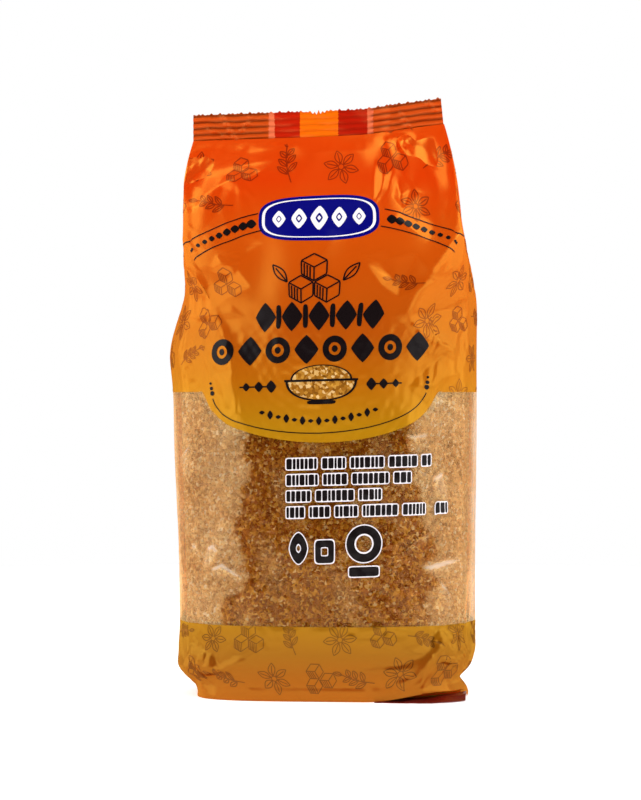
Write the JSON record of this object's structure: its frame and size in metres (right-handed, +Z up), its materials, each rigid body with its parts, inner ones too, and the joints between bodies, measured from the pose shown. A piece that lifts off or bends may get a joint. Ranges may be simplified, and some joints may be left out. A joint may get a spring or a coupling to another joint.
{
  "type": "pouch of sugar",
  "caption": "Filled side-gusseted film pouch of brown cane sugar that stands on its folded base, with a printed label, a clear window and a ribbed heat seal along the top.",
  "frame": {"origin": "on the floor plane, under the middle of the pouch's outline", "axes": "+Z up, the printed face towards -Y, the pouch's width along X"},
  "size_m": [0.1158, 0.0694, 0.2205],
  "materials": {
    "printed_film": "glossy printed polypropylene film",
    "clear_film": "glossy clear polypropylene film",
    "sugar": "loose golden brown crystals"
  },
  "bodies": {
    "root": {"pouch": "printed_film"}
  },
  "joints": []
}
